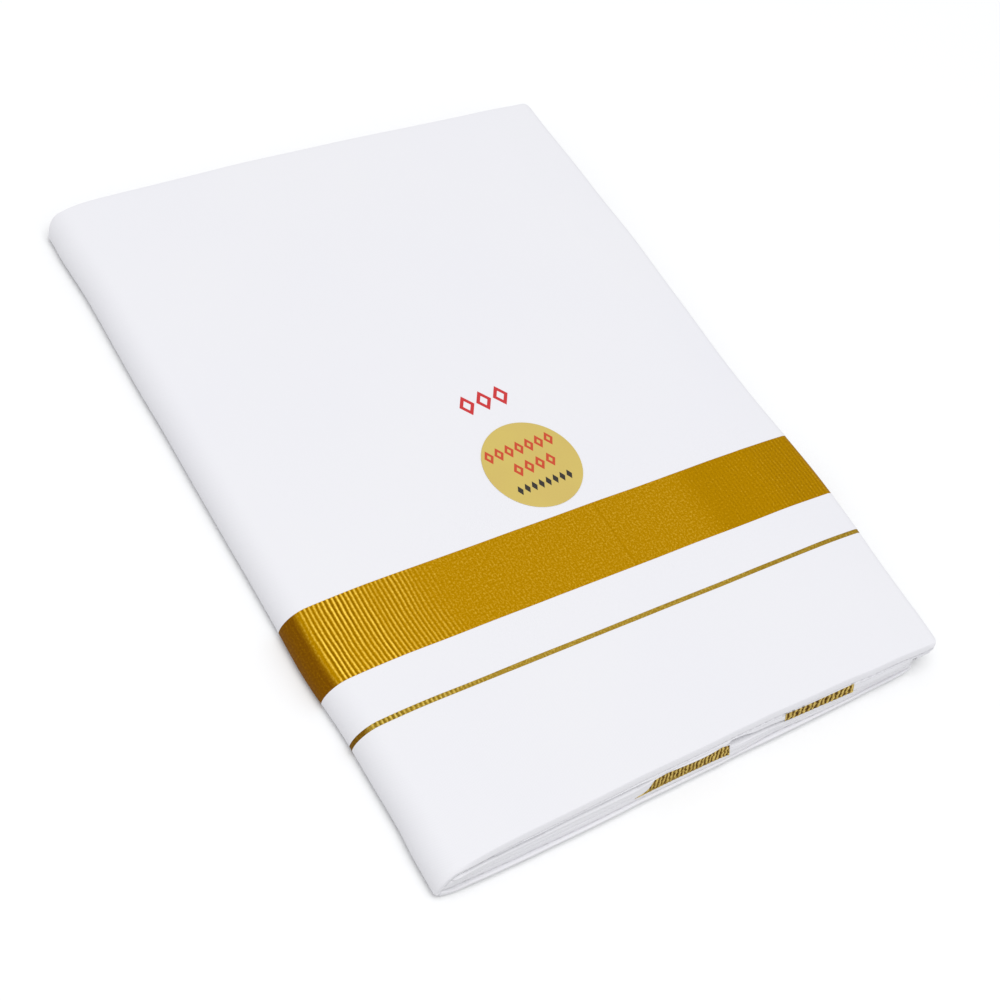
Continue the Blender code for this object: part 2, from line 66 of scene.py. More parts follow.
# A smooth curve through the rows of a table: the first column is the place along it.
def curveThrough(rows, column):
    keys = [row[0] for row in rows]
    values = [row[column] for row in rows]
    last = len(rows) - 1
    slopes = []
    for k in range(len(rows)):
        low, high = max(k - 1, 0), min(k + 1, last)
        slopes.append((values[high] - values[low]) / (keys[high] - keys[low]))

    def valueAt(at):
        if at <= keys[0]:
            return values[0]
        if at >= keys[last]:
            return values[last]
        i = bisect_right(keys, at) - 1
        span = keys[i + 1] - keys[i]
        t = (at - keys[i]) / span
        rise = values[i] * (1 + 2 * t) * (1 - t) ** 2 + values[i + 1] * t * t * (3 - 2 * t)
        return rise + span * t * (1 - t) * (slopes[i] * (1 - t) - slopes[i + 1] * t)

    return valueAt


# The outer passes of the folded cloth wrap the packet once, from their tucked end under the
# right fold, over the top, round the spine on the left, to their raw end on the underside.
packet = {
    "halfWidth": 124.5,
    "halfDepth": 168.0,
    "height": 17.0,
    "wall": 2.0,  # four plies of cotton, pressed
    "gap": 0.3,  # the CAD pieces stand this far apart
    "tuck": 12.0,
    "rawShort": 12.0,
    "spine": {"shoulderIn": 36, "shoulderDrop": 3.1, "roundIn": 9.5, "crestDrop": 13.1,
              "underIn": 4.6, "footDrop": 17.0, "sole": 3.4, "swell": 0.55, "nearSwell": 0.5},
    "rightFold": {"shoulderIn": 30, "shoulderDrop": 1.6, "roundIn": 4.0, "crestDrop": 5.0,
                  "underIn": 4.2, "footDrop": 8.6, "sole": 0.0, "swell": 0.4},
    # y, then how far the left and the right side stand in
    "sides": [(-168, 1.1, 3.2), (-158, 1.2, 3.1), (-149, 1.4, 2.6), (-139, 2.0, 2.4), (-121, 2.0, 1.8),
              (-96, 1.9, 0.4), (-71, 0.2, 0.0), (-47, 0.6, 0.9), (-26, 0.9, 1.9), (-1, 1.1, 2.2),
              (24, 1.4, 1.5), (49, 1.7, 0.9), (74, 1.6, 0.4), (99, 1.9, 1.0), (124, 2.3, 1.2),
              (149, 1.4, 2.0), (157, 1.6, 2.0), (168, 1.0, 2.1)],
    # x, then how far the far end stands in
    "farEnd": [(-124, 1.6), (-117, 2.8), (-107, 1.9), (-92, 2.2), (-62, 1.6), (-32, 0.8), (-2, 0.9),
               (28, 1.1), (58, 1.8), (88, 2.3), (103, 2.3), (116, 2.2), (124, 2.6)],
    # x, how far the near end stands in at its top lip, over and under the gap that parts the
    # passes, at the groove over the bottom pass and at the foot, and the gap's height
    "nearEnd": [(-124, 2.1, 1.7, 1.5, 1.6, 1.3, 11.9), (-118, 2, 1.3, 1, 1.55, 0.47, 11.9),
                (-114, 1.95, 1.13, 0.83, 1.52, 0.02, 11.9), (-106, 2.3, 1.77, 1.43, 1.18, -0.3, 11.9),
                (-98, 2.65, 2.15, 1.8, 1.11, -0.43, 11.9), (-90, 2.85, 2.38, 2.05, 0.98, -0.45, 11.9),
                (-82, 3.05, 2.52, 2.15, 1.16, -0.44, 11.9), (-74, 3.25, 2.82, 2.45, 1.12, -0.31, 11.9),
                (-58, 3.65, 3.23, 2.88, 1.24, -0.12, 11.9), (-42, 4.2, 3.41, 3.01, 1.5, 0.27, 11.9),
                (-34, 4.5, 3.56, 3.16, 1.73, 0.62, 11.9), (-18, 4.7, 4.15, 4.14, 1.87, 0.88, 11.9),
                (-2, 4.88, 4.26, 4.24, 1.96, 1.19, 11.9), (6, 5.1, 4.25, 4.2, 1.99, 1.29, 11.8),
                (14, 5.35, 3.85, 3.45, 2.16, 1.69, 11.1), (22, 5.4, 4, 3.6, 2.54, 1.8, 10.3),
                (32, 5.65, 4.3, 3.9, 3.37, 1.83, 9.4), (42, 5.45, 4.25, 4.05, 3.45, 1.97, 8.7),
                (54, 5.4, 4.15, 3.9, 3.2, 2.18, 8.5), (70, 5.5, 3.9, 3.7, 3.4, 2.59, 8.4),
                (78, 5.2, 3.7, 3.65, 3.73, 2.77, 8.8), (86, 4.95, 3.65, 3.6, 4.16, 3.06, 9.5),
                (94, 5.1, 3.8, 3.75, 4.39, 3.26, 9.6), (102, 5.15, 4.2, 4.2, 4.52, 3.45, 9.4),
                (110, 5, 4.8, 4.7, 4.65, 4.08, 9), (124, 5, 5.1, 5.1, 5.1, 5.1, 9)],
    "lipHeight": 13.9,
    "grooveHeight": 3.9,
    "footHeight": 2.6,
    "corners": {"farLeft": 4.8, "farRight": 4.5, "nearLeft": 0.4, "nearRight": 3.5},
    # the rolled edge of the wall: (share, way in, depth) from its lip to where it starts, and
    # how its inside lies; sole is how much further in it starts where the cloth lies on the ground
    "roll": {"outside": [(0.0, 0.0, 3.1), (0.2, 0.12, 2.5), (0.5, 0.55, 1.2), (0.72, 0.9, 0.42),
                         (0.86, 1.15, 0.12), (1.0, 1.7, 0.0)],
             "sole": [(0.0, 0.0), (0.42, 0.0), (0.72, 1.3), (0.86, 2.3), (1.0, 3.5)],
             "back": 1.7, "lip": 3.1, "under": 3.75, "underBack": 0.6, "innerBack": 7.0, "turnShare": 0.45},
}

halfDepth = packet["halfDepth"]
leftIn = curveThrough(packet["sides"], 1)
rightIn = curveThrough(packet["sides"], 2)
farIn = curveThrough(packet["farEnd"], 1)
nearIn = {name: curveThrough(packet["nearEnd"], k + 1)
          for k, name in enumerate(("lip", "overGap", "underGap", "groove", "foot", "gapHeight"))}


def sideEdges(y):
    return -packet["halfWidth"] + leftIn(y), packet["halfWidth"] - rightIn(y)


def cornerPull(x, y, leftRadius, rightRadius):
    left, right = sideEdges(y)
    pull = 0.0
    for radius, inset in ((leftRadius, x - left), (rightRadius, right - x)):
        if inset < radius:
            pull += radius - math.sqrt(radius**2 - (radius - max(inset, 0.0)) ** 2)
    return pull


def farEdge(x):
    corners = packet["corners"]
    pull = cornerPull(x, halfDepth, corners["farLeft"], corners["farRight"])
    return halfDepth - farIn(x) - pull


def nearPull(x):
    corners = packet["corners"]
    return cornerPull(x, -halfDepth, corners["nearLeft"], corners["nearRight"])


# the wall's near edge: its top, the underside of the right fold and its foot
def nearEdge(x, z):
    high, low = packet["lipHeight"], packet["footHeight"]
    middle = packet["height"] - packet["rightFold"]["footDrop"]
    if z > middle:
        inset = mix(nearIn["overGap"](x), nearIn["lip"](x), min((z - middle) / (high - middle), 1.0))
    else:
        inset = mix(nearIn["foot"](x), nearIn["overGap"](x), max((z - low) / (middle - low), 0.0))
    return -halfDepth + inset + nearPull(x)


# the near edge of the passes inside, over and under the gap
def innerEdge(x, z, over):
    gap = nearIn["gapHeight"](x)
    if over:
        share = (z - gap) / (packet["lipHeight"] - gap)
        inset = mix(nearIn["overGap"](x), nearIn["lip"](x), min(max(share, 0.0), 1.0))
    else:
        share = (z - packet["grooveHeight"]) / (gap - packet["grooveHeight"])
        inset = mix(nearIn["groove"](x), nearIn["underGap"](x), min(max(share, 0.0), 1.0))
    return -halfDepth + inset + nearPull(x)


def foldDrop(fold, inset):
    drop = 0.0
    if inset < fold["shoulderIn"]:
        drop += fold["shoulderDrop"] * (1 - inset / fold["shoulderIn"]) ** 1.6
    if inset < fold["roundIn"]:
        turn = 1 - max(inset, 0.0) / fold["roundIn"]
        drop += (fold["crestDrop"] - fold["shoulderDrop"]) * (1 - math.sqrt(1 - turn**2))
    return drop


# (inset, drop) on a fold: part 0 is under it from the foot up, 1 its round, 2 its shoulder
def foldPlace(fold, part, t):
    quarter = math.pi / 2
    if part == 0:
        angle = quarter * (1 - t)
        inset = fold["underIn"] * (1 - math.cos(angle)) + fold["sole"] * ease(0.62, 1.0, math.sin(angle))
        return inset, mix(fold["crestDrop"], fold["footDrop"], math.sin(angle))
    if part == 1:
        inset = fold["roundIn"] * (1 - math.cos(quarter * t))
    else:
        inset = mix(fold["roundIn"], fold["shoulderIn"], t)
    return inset, foldDrop(fold, inset)


# A place on the outside of the wrap: u runs 0-1 along the tucked end, 1-4 up the right fold,
# 4-5 over the top, 5-8 down the spine and 8-9 along the underside to the raw end.
wrapParts = 9


def wrapPlace(u, y):
    left, right = sideEdges(y)
    spine, rightFold, height = packet["spine"], packet["rightFold"], packet["height"]
    part = min(int(u), wrapParts - 1)
    t = u - part
    if part == 0:
        return mix(right - packet["tuck"], right - rightFold["underIn"], t), height - rightFold["footDrop"]
    if part < 4:
        inset, drop = foldPlace(rightFold, part - 1, t)
        return right - inset, height - drop
    if part == 4:
        return mix(right - rightFold["shoulderIn"], left + spine["shoulderIn"], t), height
    if part < 8:
        inset, drop = foldPlace(spine, 7 - part, 1 - t)
        return left + inset, height - drop
    return mix(left + spine["underIn"] + spine["sole"], right - packet["rawShort"], t), 0.0


# how much of its full thickness the wall has at its rolled edges
def swellAt(u):
    spine, rightFold = packet["spine"], packet["rightFold"]
    if u < 4:
        inset = foldPlace(rightFold, int(u) - 1, u - int(u))[0] if u >= 1 else 0.0
        return mix(rightFold["swell"], 1.0, ease(rightFold["roundIn"], 2 * rightFold["roundIn"], inset))
    if 5 < u < 8:
        inset = foldPlace(spine, 7 - int(u), 1 - (u - int(u)))[0]
        return mix(spine["swell"], 1.0, ease(spine["roundIn"], 2 * spine["roundIn"], inset))
    return mix(spine["swell"], 1.0, ease(8.0, 8.03, u)) if u >= 8 else 1.0


def outwardAt(u, y):
    probe = 0.004
    ax, az = wrapPlace(max(u - probe, 0.0), y)
    bx, bz = wrapPlace(min(u + probe, wrapParts), y)
    length = math.hypot(bx - ax, bz - az)
    return (bz - az) / length, -(bx - ax) / length


# The way along the wrap, measured once, so that pieces can space their columns by length.
waySteps = 60
wayPlaces = [k / waySteps for k in range(wrapParts * waySteps + 1)]
wayLengths = [0.0]
for before, after in zip(wayPlaces, wayPlaces[1:]):
    a, b = wrapPlace(before, 0.0), wrapPlace(after, 0.0)
    wayLengths.append(wayLengths[-1] + math.dist(a, b))
wrapLength = wayLengths[-1]


def placeAlong(way):
    i = min(bisect_right(wayLengths, way), len(wayLengths) - 1)
    span = wayLengths[i] - wayLengths[i - 1]
    return mix(wayPlaces[i - 1], wayPlaces[i], min((way - wayLengths[i - 1]) / span, 1.0))


def wayAt(u):
    i = min(int(u * waySteps), wrapParts * waySteps - 1)
    return mix(wayLengths[i], wayLengths[i + 1], u * waySteps - i)


# Columns as (u, way): fine ones where the wrap turns and coarser ones on the flats.
def clothColumns():
    counts = [8, 8, 9, 16, 92, 20, 14, 9, 84]
    places = [part + k / count for part, count in enumerate(counts) for k in range(count)]
    return [(u, wayAt(u)) for u in places + [wrapParts]]


def ribColumns(step):
    count = round(wrapLength / step)
    return [(placeAlong(wrapLength * k / count), wrapLength * k / count) for k in range(count + 1)]


# Soft shapes pressed into the wrap.
creases = {
    # low waves: how high, how long along x and along y, seed
    "waves": [(0.10, 52, 64, 3.0), (0.05, 19, 27, 8.0)],
    "sideWave": (0.12, 14, 46, 5.0),
    "undersideShare": 0.8,
    "reach": 2.5,  # a crease is felt as far as this many of its widths
    "fade": (0.25, 0.08),  # the share of its length that it fades over, and what is left at its end
    # from (x, y) to (x, y), how deep (below 0 a ridge) and how wide: the top first
    "top": [(22, -40, 20.5, -96, -0.05, 2.2), (-86, 150, -92, -30, 0.10, 9), (64, 160, 70, 40, 0.07, 12),
            (-20, 120, 34, 96, 0.06, 10), (96, 20, 88, -60, 0.06, 9), (-60, -112, -30, -150, 0.08, 11),
            (30, -118, 62, -146, 0.09, 12), (4, 60, -12, 10, 0.05, 14), (100, 150, 112, 60, -0.06, 7)],
    "underside": [(-60, 140, -52, -150, 0.16, 6), (52, 150, 60, -120, 0.14, 7), (-20, -40, 40, -52, 0.10, 8),
                  (-96, 20, -70, -60, 0.12, 9), (10, 120, 44, 60, 0.10, 10), (88, -20, 96, -130, 0.12, 6)],
}


def creaseDrop(lines, x, y):
    drop = 0.0
    fade, left = creases["fade"]
    for ax, ay, bx, by, depth, width in lines:
        dx, dy = bx - ax, by - ay
        t = ((x - ax) * dx + (y - ay) * dy) / (dx * dx + dy * dy)
        t = min(max(t, 0.0), 1.0)
        away = math.hypot(x - ax - t * dx, y - ay - t * dy) / width
        if away < creases["reach"]:
            drop += depth * math.exp(-away * away) * ease(0.0, fade, t + left) * ease(0.0, fade, 1 + left - t)
    return drop


# how far the wrap's surface lies in from its plain form
def pressedIn(u, way, x, y):
    wave = sum(high * noiseAt(x / spanX, y / spanY, seed) for high, spanX, spanY, seed in creases["waves"])
    if u > 7.6:
        return creaseDrop(creases["underside"], x, y) + abs(wave) * creases["undersideShare"]
    if 4 <= u <= 5.5:
        return creaseDrop(creases["top"], x, y) + wave
    high, around, along, seed = creases["sideWave"]
    return wave + high * noiseAt(way / around, y / along, seed)


rollBack = curveThrough(packet["roll"]["outside"], 1)
rollDepth = curveThrough(packet["roll"]["outside"], 2)
soleBack = curveThrough(packet["roll"]["sole"], 1)


# how far a place on the wrap has turned down onto the ground
def soleAt(u):
    return ease(7.4, 8.02, u)


# how full the near edge is rolled: less down the spine
def nearFull(u):
    return 1 - packet["spine"]["nearSwell"] * ease(5.7, 6.2, u) * (1 - ease(7.6, 8.0, u))


# (way in from the edge, depth) outside and inside on the rolled edge: share 0 is its lip, 1 its start
def rollPlace(share, swell):
    roll, wall = packet["roll"], packet["wall"]
    outerBack, outerDepth = rollBack(share), rollDepth(share) * swell
    if share < roll["turnShare"]:
        turn = share / roll["turnShare"] * math.pi / 2
        innerBack = roll["underBack"] * (1 - math.cos(turn))
        innerDepth = mix(roll["lip"], roll["under"], math.sin(turn))
    else:
        rest = (share - roll["turnShare"]) / (1 - roll["turnShare"])
        innerBack = mix(roll["underBack"], roll["innerBack"], rest)
        innerDepth = mix(roll["under"], wall, ease(0, 1, rest))
    return outerBack, outerDepth, innerBack, mix(wall, innerDepth, swell)


rollShares = [0.0, 0.1, 0.2, 0.3, 0.4, 0.5, 0.61, 0.72, 0.79, 0.86, 0.93]


# A new mesh to build in, with its weave map and the named values of its corners.
def newShell(*names):
    bm = bmesh.new()
    values = bm.verts.layers.float
    return [bm, bm.loops.layers.uv.new("weave")] + [values.new(name) for name in names]


def gridFaces(bm, grid, closed=False):
    for row, after in zip(grid, grid[1:]):
        for k in range(len(row) if closed else len(row) - 1):
            m = (k + 1) % len(row)
            bm.faces.new((row[k], row[m], after[m], after[k]))


# A closed shell between its outer and its inner grid, mapped by the way along and one axis.
def shellFaces(bm, outer, inner, uvLayer, wayLayer, axis):
    gridFaces(bm, outer)
    gridFaces(bm, inner)
    for k in (0, -1):
        gridFaces(bm, [outer[k], inner[k]])
        gridFaces(bm, [[row[k] for row in outer], [row[k] for row in inner]])
    for face in bm.faces:
        for loop in face.loops:
            loop[uvLayer].uv = (loop.vert[wayLayer], loop.vert.co[axis])


def finished(name, bm, material):
    bmesh.ops.remove_doubles(bm, verts=bm.verts, dist=1e-6)
    bmesh.ops.dissolve_degenerate(bm, edges=bm.edges, dist=1e-7)
    bmesh.ops.recalc_face_normals(bm, faces=bm.faces)
    mesh = bpy.data.meshes.new(name)
    bm.to_mesh(mesh)
    bm.free()
    mesh.materials.append(material)
    mesh.shade_smooth()
    mesh.set_sharp_from_angle(angle=math.radians(50))
    return linked(bpy.data.objects.new(name, mesh))


# The rows of a stretch, from its near to its far end: on a rolled edge or on the flat between.
def stretchRows(yNear, yFar, rowStep):
    lowest = -halfDepth if yNear is None else yNear(0.0)
    highest = halfDepth if yFar is None else yFar(0.0)
    steps = max(round((highest - lowest) / rowStep), 2)
    rows = [("near", share) for share in rollShares] if yNear is None else []
    rows += [("flat", k / steps) for k in range(steps + 1)]
    rows += [("far", share) for share in reversed(rollShares)] if yFar is None else []
    return rows


# A stretch of the wrap as a thin closed shell. With no yNear or yFar it runs to the rolled edge.
# ribAt(way, y) says how far the weave's ribs stand out there.
def wrapStretch(name, columns, yNear, yFar, rowStep, material, ribAt=None):
    bm, uvLayer, wayLayer, ribLayer, facingLayer = newShell("way", "rib", "facing")
    roll = packet["roll"]
    ends = []
    for u, way in columns:
        x, z = wrapPlace(u, 0.0)
        ends.append((nearEdge(x, z) if yNear is None else yNear(x), farEdge(x) if yFar is None else yFar(x)))
    outer, inner = [], []
    for kind, share in stretchRows(yNear, yFar, rowStep):
        outerRow, innerRow = [], []
        for (u, way), (start, stop) in zip(columns, ends):
            outerDepth, innerDepth = 0.0, packet["wall"]
            if kind == "flat":
                rolled = (roll["back"] + soleAt(u) * soleBack(1.0), roll["innerBack"])
                outerNear, innerNear = rolled if yNear is None else (0.0, 0.0)
                outerFar, innerFar = rolled if yFar is None else (0.0, 0.0)
                outerY = mix(start + outerNear, stop - outerFar, share)
                innerY = mix(start + innerNear, stop - innerFar, share)
            else:
                outerBack, outerDepth, innerBack, innerDepth = rollPlace(share, swellAt(u))
                outerBack += soleAt(u) * soleBack(share)
                if kind == "near":
                    outerDepth *= nearFull(u)
                    outerY, innerY = start + outerBack, start + innerBack
                else:
                    outerY, innerY = stop - outerBack, stop - innerBack
            rib = ribAt(way, outerY) if ribAt else 0.0
            outerDepth += pressedIn(u, way, wrapPlace(u, outerY)[0], outerY) - rib
            for places, y, depth in ((outerRow, outerY, outerDepth), (innerRow, innerY, innerDepth)):
                x, z = wrapPlace(u, y)
                nx, nz = outwardAt(u, y)
                vert = bm.verts.new(Vector((x - nx * depth, y, z - nz * depth)) * mm)
                vert[wayLayer] = way * mm
                if places is outerRow:
                    vert[ribLayer], vert[facingLayer] = rib, nz
                places.append(vert)
        outer.append(outerRow)
        inner.append(innerRow)
    shellFaces(bm, outer, inner, uvLayer, wayLayer, 1)
    return finished(name, bm, material)


# Six more passes of the cloth lie inside the wrap. Their folds show at the near, far and right
# edges with rounded noses, and two of them lie over a gap that runs down to the right.
innerStack = {
    "bottom": 2.31,
    "top": 14.69,
    "lowShares": [0.36, 0.68],  # where passes meet between the groove and the gap
    "highShares": [0.5],  # and between the gap and the top
    "noseRows": [0.0, 0.07, 0.2, 0.55],  # rows over a nose, from where the passes meet
    "noseIn": 0.3,
    "grooveDepth": 1.7,
    "unevenEdge": 0.16,
    "unevenHeight": 0.14,
    # x, then the opening and the depth of the gap
    "gap": [(-122, 0.4, 1.5), (-112, 0.8, 2.6), (-104, 1.1, 3.0), (-72, 1.4, 3.4), (-52, 1.6, 3.6),
            (-34, 1.3, 3.0), (-27, 0.06, 0.3), (8, 0.06, 0.3), (10.5, 3.4, 6.0), (17, 3.2, 6.0),
            (22, 1.8, 4.0), (36, 1.6, 3.2), (42, 0.2, 0.8), (72, 0.2, 0.8), (80, 0.06, 0.2),
            (124, 0.06, 0.2)],
    "farGap": (8.5, 0.14, 0.5),  # its height, opening and depth at the far end
    "farBack": 0.6,  # how far the passes stand in from the wall's far edge
    # how far the right ends of the passes stand in, from the lowest one up
    "rightEnds": [13.0, 12.2, 13.1, 12.5],
    "corner": 0.6,
    "cornerSteps": 5,
    "sideSteps": 60,
    "ringEnds": (-120, 116),  # where the sides' heights are read
    "endIn": 8,  # how far from the ends the sides' places are read
    "clearance": 0.1,
    "sideGap": 0.12,
    "notch": (-118.4, 1.1, 1.3),  # x, width and depth of a small opening under the wrap's lip
}
gapOpening = curveThrough(innerStack["gap"], 1)
gapDepth = curveThrough(innerStack["gap"], 2)
lowPasses = len(innerStack["lowShares"]) + 2
passes = lowPasses + len(innerStack["highShares"]) + 1


# The heights at which one pass ends and the next starts.
def passHeights(gap, along):
    groove, top = packet["grooveHeight"], innerStack["top"]
    heights = [innerStack["bottom"], groove]
    heights += [mix(groove, gap, share) for share in innerStack["lowShares"]] + [gap]
    heights += [mix(gap, top, share) for share in innerStack["highShares"]] + [top]
    for k in range(1, passes):
        share = 0.3 if k == lowPasses else 1.0
        heights[k] += share * innerStack["unevenHeight"] * noiseAt(along / 15, k * 1.7, 2.0)
    return heights


# The height and the nose's inset of one row of a pass, between the heights it lies between.
def passRow(heights, k, row, opening):
    low, high = heights[k], heights[k + 1]
    if k == lowPasses:
        low += opening / 2
    if k + 1 == lowPasses:
        high -= opening / 2
    rows = innerStack["noseRows"]
    last = 2 * len(rows)
    if row == len(rows):
        return (low + high) / 2, 0.0
    offset = rows[min(row, last - row)]
    inset = innerStack["noseIn"] * (1 - math.sqrt(1 - (1 - offset / rows[-1]) ** 2))
    offset *= min(1.0, (high - low) / (2.4 * rows[-1]))
    return (low + offset if row < len(rows) else high - offset), inset


crossBands = {
    "skin": 0.14,  # how far the gold's outer face stands off the white passes
    "underside": 0.03,
    "columnStep": 0.35,
    "rows": 16,
    "tick": 0.09,
    # (height, x) down the left end and down the right end, and the heights of its lower and
    # upper edge from the gap: x, low, high
    "cross_band_left": {"pitch": 1.9, "left": [(5.9, -36.8), (6.4, -33.8), (7.0, -31.2), (8.0, -29.6),
                                               (11.9, -27.4)],
                        "right": [(6.1, 10.2), (11.9, 8.9)],
                        "edges": [(-40, -5.85, -0.05), (8, -5.7, -0.05)]},
    "cross_band_right": {"pitch": 2.5, "left": [(8.7, 38.4), (13.2, 37.8)],
                         "right": [(8.4, 74.2), (13.2, 73.5)], "edges": [(37, 0.15, 4.3), (74, 0.12, 4.6)]},
}


def goldHeights(band, x):
    low, high = curveThrough(band["edges"], 1), curveThrough(band["edges"], 2)
    gap = nearIn["gapHeight"](x)
    return gap + low(x), gap + high(x)


# Places on the wall near its two ends, to look up which of them a pass lies behind.
wallSteps = 40
wallPlaces = [k / wallSteps for k in range(wrapParts * wallSteps + 1)]
wallTree = {}
for side in (-1, 1):
    tree = kdtree.KDTree(len(wallPlaces))
    for k, u in enumerate(wallPlaces):
        x, z = wrapPlace(u, side * (halfDepth - 6.0))
        tree.insert((x, 0.0, z), k)
    tree.balance()
    wallTree[side] = tree


# How far in from the wall's rolled edge a pass has to end to lie behind it, and where that wall is.
def behindRoll(x, z, side):
    (wallX, _, wallZ), k, depth = wallTree[side].find((x, 0.0, z))
    swell = swellAt(wallPlaces[k])
    roll = packet["roll"]
    clearance = innerStack["clearance"]
    if depth >= mix(packet["wall"], roll["under"], swell) + clearance:
        return 0.0, wallX, wallZ
    for step in range(25):
        _, _, back, inside = rollPlace(roll["turnShare"] + (1 - roll["turnShare"]) * step / 24, swell)
        if inside + clearance <= depth:
            return back, wallX, wallZ
    return roll["innerBack"] + 0.5, wallX, wallZ


# How smooth the near edge is drawn where the gold shows on it.
def goldHold(x, z):
    hold = 0.0
    for band in (crossBands["cross_band_left"], crossBands["cross_band_right"]):
        low, high = band["left"][0][1] + 4, band["right"][-1][1]
        across = ease(low - 3, low, x) * (1 - ease(high, high + 2, x))
        bottom, top = goldHeights(band, x)
        hold = max(hold, across * ease(bottom - 0.5, bottom, z) * (1 - ease(top, top + 0.5, z)))
    return hold


# A place on the near (side -1) or far (side 1) face of pass k.
def stackFace(x, k, row, side):
    if side < 0:
        gap, opening, depth = nearIn["gapHeight"](x), gapOpening(x), gapDepth(x)
    else:
        gap, opening, depth = innerStack["farGap"]
        gap += noiseAt(x / 40, 7.7)
    z, inset = passRow(passHeights(gap, x + side * 300), k, row, opening)
    uneven = innerStack["unevenEdge"] * noiseAt(x / 24, k * 3.1, 40.0 + side)
    if side < 0:
        hold = goldHold(x, z)
        inset *= 1 - hold
        uneven *= 1 - hold
        if k >= lowPasses - 1:
            place, width, deep = innerStack["notch"]
            inset += deep * math.exp(-((x - place) / width) ** 2)
    inset += uneven
    lastRow = 2 * len(innerStack["noseRows"])
    if (k, row) in ((lowPasses, 0), (lowPasses - 1, lastRow)):
        inset += depth
    if (k, row) == (1, 0):
        inset += innerStack["grooveDepth"]
    back, wallX, wallZ = behindRoll(x, z, side)
    if side < 0:
        y = innerEdge(x, z, k >= lowPasses) + inset
        y = max(y, nearEdge(wallX, wallZ) + back) if back else y
    else:
        y = farEdge(x) - innerStack["farBack"] - inset
        y = min(y, farEdge(wallX) - back) if back else y
    return Vector((x, y, z))


# Where the stack's left side meets the inside of the spine, and its top plies the right fold.
def insideOf(uFrom, uTo, side):
    points = []
    steps = 80
    wall, under = packet["wall"], packet["roll"]["under"]
    left, right = sideEdges(0.0)
    edge = right if side > 0 else left
    for k in range(steps + 1):
        u = mix(uFrom, uTo, k / steps)
        x, z = wrapPlace(u, 0.0)
        nx, nz = outwardAt(u, 0.0)
        swell = swellAt(u)
        turned = min((1 - swell) / (1 - packet["spine"]["swell"]), 1.0)
        deep = wall + innerStack["sideGap"] + (under - wall) * swell * turned
        points.append((z - nz * deep, (edge - (x - nx * deep)) * side))
    points.sort()
    return curveThrough([row for k, row in enumerate(points) if not k or row[0] > points[k - 1][0] + 0.02], 1)


spineInside = insideOf(5.4, 8.2, -1)
foldInside = insideOf(1.2, 3.9, 1)


def stackSides(y, k, row, heights):
    z, inset = passRow(heights, k, row, innerStack["farGap"][1])
    left, right = sideEdges(y)
    left += spineInside(z)
    if k < lowPasses:
        right -= innerStack["rightEnds"][k] + 0.5 * noiseAt(y / 50, k * 2.3, 9.0) + inset
    else:
        right -= foldInside(z)
    return left, right, z


# One closed ring round pass k at one of its rows: near face, right side, far face, left side.
def stackRing(k, row):
    corner, cornerSteps, sideSteps = (innerStack[name] for name in ("corner", "cornerSteps", "sideSteps"))
    leftHeights, rightHeights = (passHeights(nearIn["gapHeight"](x), 0.0) for x in innerStack["ringEnds"])

    def faceRow(side, middle, edgeSteps):
        y = side * (halfDepth - innerStack["endIn"])
        left = stackSides(y, k, row, leftHeights)[0] + corner
        right = stackSides(y, k, row, rightHeights)[1] - corner
        places = [mix(left, middle[0], m / edgeSteps) for m in range(edgeSteps)] + middle
        places += [mix(middle[-1], right, m / edgeSteps) for m in range(1, edgeSteps + 1)]
        return [stackFace(x, k, row, side) for x in places]

    near = faceRow(-1, [float(m) for m in range(-102, 101)], 18)
    far = faceRow(1, [2.5 * m for m in range(-40, 41)], 10)
    ring = list(near)

    def turned(quarters, x, y, z):
        quarter = math.pi / 2
        for m in range(1, cornerSteps):
            angle = mix(quarters * quarter, (quarters + 1) * quarter, m / cornerSteps)
            ring.append(Vector((x + corner * math.cos(angle), y + corner * math.sin(angle), z)))

    y0, y1 = near[-1].y + corner, far[-1].y - corner
    turned(-1, near[-1].x, y0, near[-1].z)
    for m in range(sideSteps + 1):
        share = m / sideSteps
        y = mix(y0, y1, share)
        x, z = stackSides(y, k, row, rightHeights)[1:]
        nearShare, farShare = ease(0.0, 0.15, share), 1 - ease(0.85, 1.0, share)
        z = mix(near[-1].z, z, nearShare) if nearShare < 1 else mix(far[-1].z, z, farShare)
        ring.append(Vector((x, y, z)))
    turned(0, far[-1].x, y1, far[-1].z)
    ring += reversed(far)
    y0, y1 = near[0].y + corner, far[0].y - corner
    turned(1, far[0].x, y1, far[0].z)
    for m in range(sideSteps, -1, -1):
        y = mix(y0, y1, m / sideSteps)
        x = stackSides(y, k, row, leftHeights)[0]
        ring.append(Vector((x, y, mix(near[0].z, far[0].z, m / sideSteps))))
    turned(2, near[0].x, y0, near[0].z)
    return ring


def stackRows():
    rows = []
    last = 2 * len(innerStack["noseRows"])
    for k in range(passes):
        keepsTop = k in (lowPasses - 1, passes - 1)
        rows += [(k, row) for row in range(last + 1 if keepsTop else last)]
    return rows


